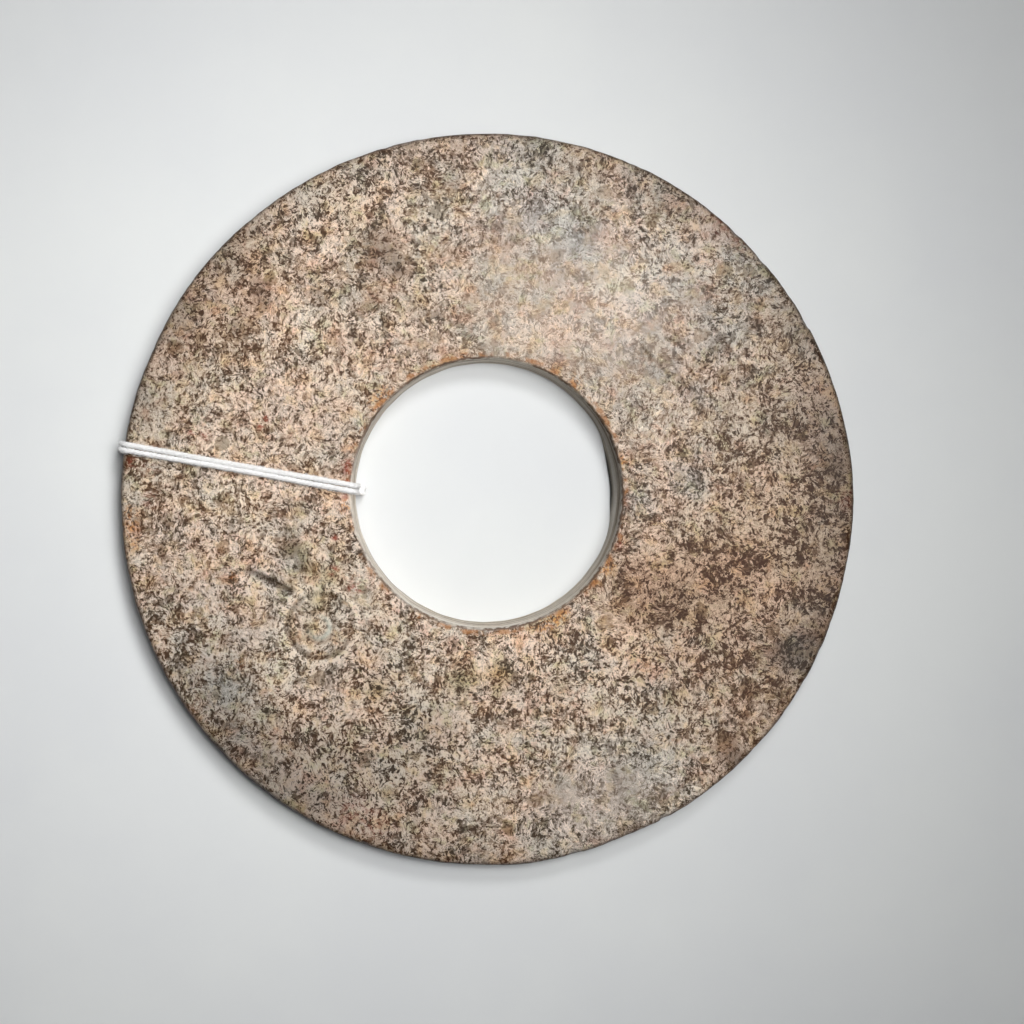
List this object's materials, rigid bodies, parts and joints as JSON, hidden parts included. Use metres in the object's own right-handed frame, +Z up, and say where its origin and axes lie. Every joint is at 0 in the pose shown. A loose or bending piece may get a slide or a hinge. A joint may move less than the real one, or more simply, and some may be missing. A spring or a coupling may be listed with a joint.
{
  "type": "jade bi disc",
  "caption": "Flat ring of mottled, weathered jade with a rounded rim and a tapered drilled bore, lying on its underside, with a thin white string tied round it.",
  "frame": {"origin": "middle of the disc's outline, on the surface that the disc lies on", "axes": "+Z up along the disc's axis, through its thickness; the string crosses the ring on the -X side"},
  "size_m": [0.2012, 0.2, 0.0124],
  "materials": {
    "weathered_jade": "worn polish over a cream net with brown and olive flecks, rust stains at the edges",
    "cotton_string": "matt twisted white cotton"
  },
  "bodies": {
    "root": {"bi_disc": "weathered_jade", "tie_string": "cotton_string"}
  },
  "joints": []
}
